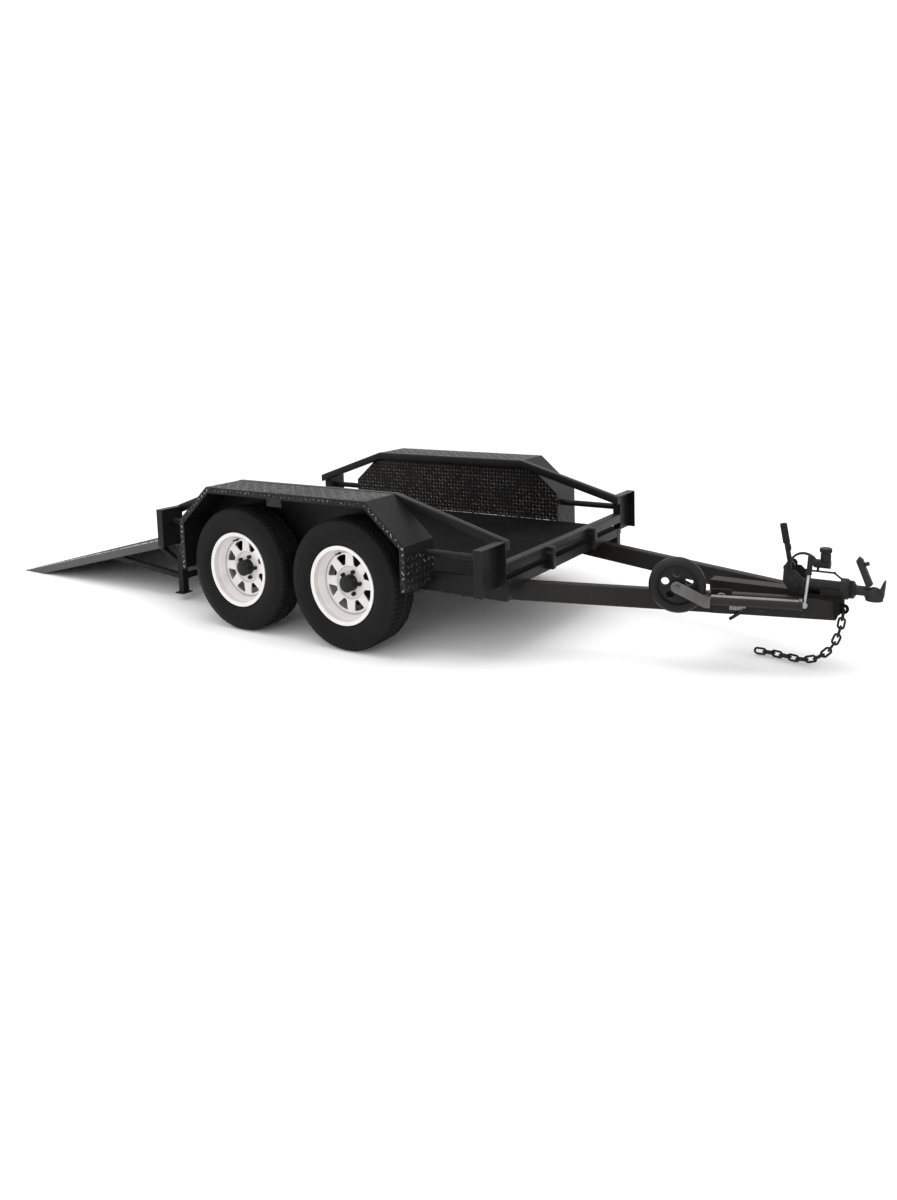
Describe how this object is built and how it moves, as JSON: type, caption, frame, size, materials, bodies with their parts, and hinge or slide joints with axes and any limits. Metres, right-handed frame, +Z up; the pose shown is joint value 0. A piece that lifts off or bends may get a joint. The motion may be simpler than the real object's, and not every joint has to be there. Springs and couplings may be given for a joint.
{
  "type": "scissor lift trailer",
  "caption": "Low tandem-axle plant trailer with checker-plate guards, A-frame drawbar, override coupling, stowed jockey wheel and a lowered rear ramp.",
  "frame": {"origin": "on the ground under the middle of the overall box, ramp lowered", "axes": "+X forward towards the coupling, +Y to the trailer's left, +Z up"},
  "size_m": [5.3306, 1.742, 0.755],
  "materials": {
    "black_paint": "satin",
    "drawbar_paint": "satin",
    "dark_iron": "matte",
    "white_paint": "gloss",
    "zinc": "satin",
    "tyre": "matte",
    "jockey_rubber": "matte",
    "black_plastic": "satin"
  },
  "bodies": {
    "chassis": {"deck_floor": "black_paint", "side_rails": "black_paint", "end_beams": "black_paint", "cross_members": "black_paint", "side_panel_left": "black_paint", "side_panel_right": "black_paint", "mudguard_left": "black_paint", "mudguard_right": "black_paint", "top_rail_left": "black_paint", "top_rail_right": "black_paint", "front_posts": "black_paint", "rear_posts": "black_paint", "post_bars": "black_paint", "headboard": "black_paint", "drawbar_left": "drawbar_paint", "drawbar_right": "drawbar_paint", "drawbar_spine": "drawbar_paint", "nose_plate": "drawbar_paint", "override_body": "dark_iron", "draw_shaft": "dark_iron", "coupling_head": "dark_iron", "coupling_latch": "dark_iron", "brake_bracket": "dark_iron", "brake_lever": "dark_iron", "fluid_reservoir": "black_plastic", "safety_chain": "dark_iron", "axle_front": "dark_iron", "axle_rear": "dark_iron", "lamps": "black_plastic", "hinge_lugs": "black_paint", "jockey_bracket": "zinc"},
    "ramp": {"ramp_frame": "black_paint", "ramp_plate": "black_paint", "ramp_pin": "zinc", "ramp_legs": "black_paint"},
    "jockey_swing": {"jockey_tube": "zinc"},
    "jockey_slide": {"jockey_leg": "zinc"},
    "jockey_roller": {"jockey_wheel": "jockey_rubber"},
    "wheel_front_left": {"tyre_front_left": "tyre", "rim_front_left": "white_paint", "hub_front_left": "dark_iron"},
    "wheel_front_right": {"tyre_front_right": "tyre", "rim_front_right": "white_paint", "hub_front_right": "dark_iron"},
    "wheel_rear_left": {"tyre_rear_left": "tyre", "rim_rear_left": "white_paint", "hub_rear_left": "dark_iron"},
    "wheel_rear_right": {"tyre_rear_right": "tyre", "rim_rear_right": "white_paint", "hub_rear_right": "dark_iron"}
  },
  "joints": [
    {"name": "spin_front_left", "type": "hinge", "parent": "chassis", "child": "wheel_front_left", "pos_m": [0.36628, 0.765, 0.325], "axis": [0, 1, 0], "continuous": true},
    {"name": "spin_front_right", "type": "hinge", "parent": "chassis", "child": "wheel_front_right", "pos_m": [0.36628, -0.765, 0.325], "axis": [0, 1, 0], "continuous": true},
    {"name": "spin_rear_left", "type": "hinge", "parent": "chassis", "child": "wheel_rear_left", "pos_m": [-0.33772, 0.765, 0.325], "axis": [0, 1, 0], "continuous": true},
    {"name": "spin_rear_right", "type": "hinge", "parent": "chassis", "child": "wheel_rear_right", "pos_m": [-0.33772, -0.765, 0.325], "axis": [0, 1, 0], "continuous": true},
    {"name": "ramp_hinge", "type": "hinge", "parent": "chassis", "child": "ramp", "pos_m": [-1.06272, 0, 0.376], "axis": [0, 1, 0], "range_deg": [0, 104]},
    {"name": "jockey_swing", "type": "hinge", "parent": "chassis", "child": "jockey_swing", "pos_m": [2.03771, -0.26304, 0.32318], "axis": [0.2957, -0.9553, 0], "range_deg": [0, 90]},
    {"name": "jockey_extend", "type": "slide", "parent": "jockey_swing", "child": "jockey_slide", "axis": [-0.9551, -0.2957, 0.0161], "range_m": [0, 0.2]},
    {"name": "jockey_roll", "type": "hinge", "parent": "jockey_slide", "child": "jockey_roller", "pos_m": [1.85712, -0.31894, 0.38423], "axis": [0.2957, -0.9553, 0], "continuous": true}
  ]
}
